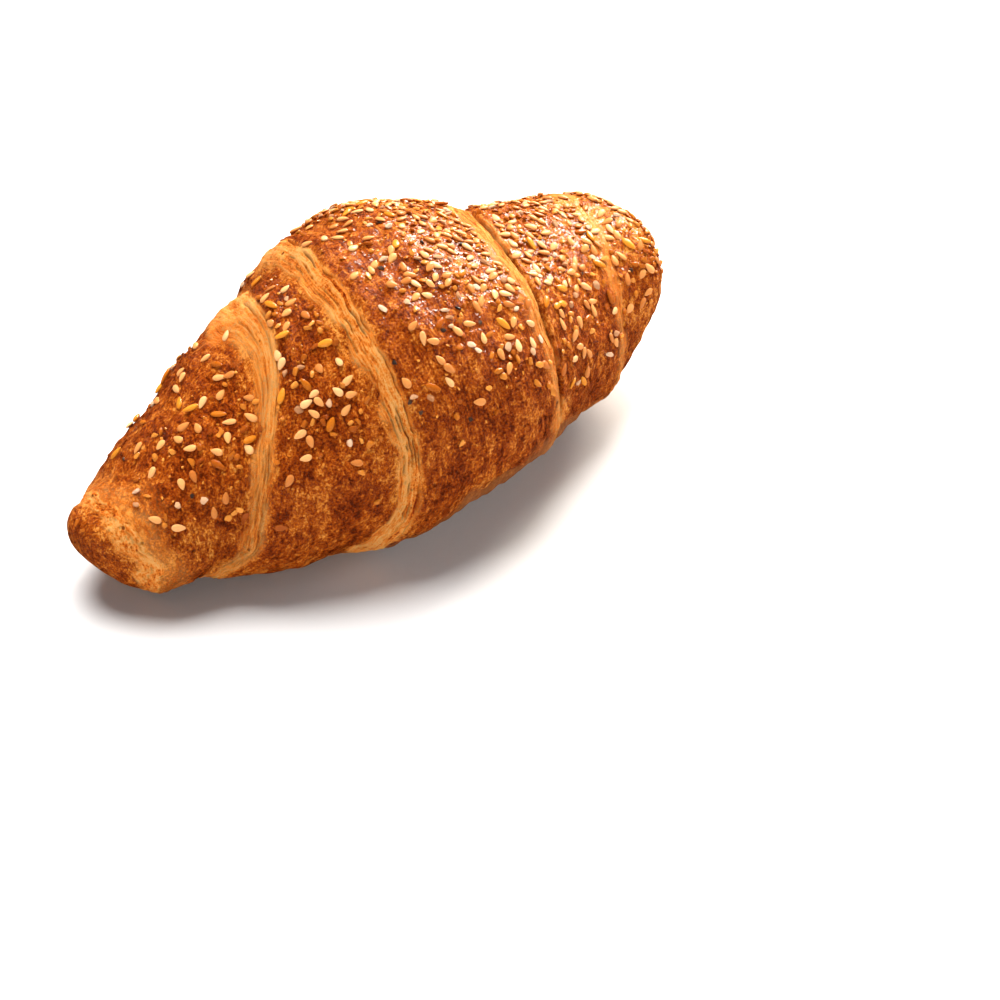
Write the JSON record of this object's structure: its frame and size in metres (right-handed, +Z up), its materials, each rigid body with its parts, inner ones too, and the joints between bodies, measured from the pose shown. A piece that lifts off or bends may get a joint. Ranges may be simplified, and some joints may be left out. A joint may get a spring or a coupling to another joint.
{
  "type": "seeded croissant",
  "caption": "Whole baked croissant of rolled laminated dough, glazed and topped with sesame, linseed and grain chips",
  "frame": {"origin": "Underneath the croissant, in the middle of its length and width", "axes": "+X along the croissant from its slim end to its blunt end, -Y its front, +Z up"},
  "size_m": [0.1696, 0.0892, 0.0675],
  "materials": {
    "crust": "glazed baked crust",
    "sesame": "satin seed",
    "linseed": "glossy seed",
    "grain": "dry chipped grain"
  },
  "bodies": {
    "root": {"baked_croissant": "crust", "sesame_seed_01": "sesame", "sesame_seed_02": "sesame", "sesame_seed_03": "sesame", "sesame_seed_04": "sesame", "sesame_seed_05": "sesame", "sesame_seed_06": "sesame", "sesame_seed_07": "sesame", "sesame_seed_08": "sesame", "sesame_seed_09": "sesame", "sesame_seed_10": "sesame", "sesame_seed_11": "sesame", "sesame_seed_12": "sesame", "sesame_seed_13": "sesame", "sesame_seed_14": "sesame", "sesame_seed_15": "sesame", "sesame_seed_16": "sesame", "sesame_seed_17": "sesame", "sesame_seed_18": "sesame", "sesame_seed_19": "sesame", "sesame_seed_20": "sesame", "sesame_seed_21": "sesame", "sesame_seed_22": "sesame", "sesame_seed_23": "sesame", "sesame_seed_24": "sesame", "sesame_seed_25": "sesame", "sesame_seed_26": "sesame", "sesame_seed_27": "sesame", "sesame_seed_28": "sesame", "sesame_seed_29": "sesame", "sesame_seed_30": "sesame", "sesame_seed_31": "sesame", "sesame_seed_32": "sesame", "sesame_seed_33": "sesame", "sesame_seed_34": "sesame", "sesame_seed_35": "sesame", "sesame_seed_36": "sesame", "sesame_seed_37": "sesame", "sesame_seed_38": "sesame", "sesame_seed_39": "sesame", "sesame_seed_40": "sesame", "linseed_01": "linseed", "linseed_02": "linseed", "linseed_03": "linseed", "linseed_04": "linseed", "linseed_05": "linseed", "linseed_06": "linseed", "linseed_07": "linseed", "linseed_08": "linseed", "linseed_09": "linseed", "linseed_10": "linseed", "grain_chip_01": "grain", "grain_chip_02": "grain", "grain_chip_03": "grain", "grain_chip_04": "grain", "grain_chip_05": "grain", "grain_chip_06": "grain", "grain_chip_07": "grain", "grain_chip_08": "grain"}
  },
  "joints": []
}
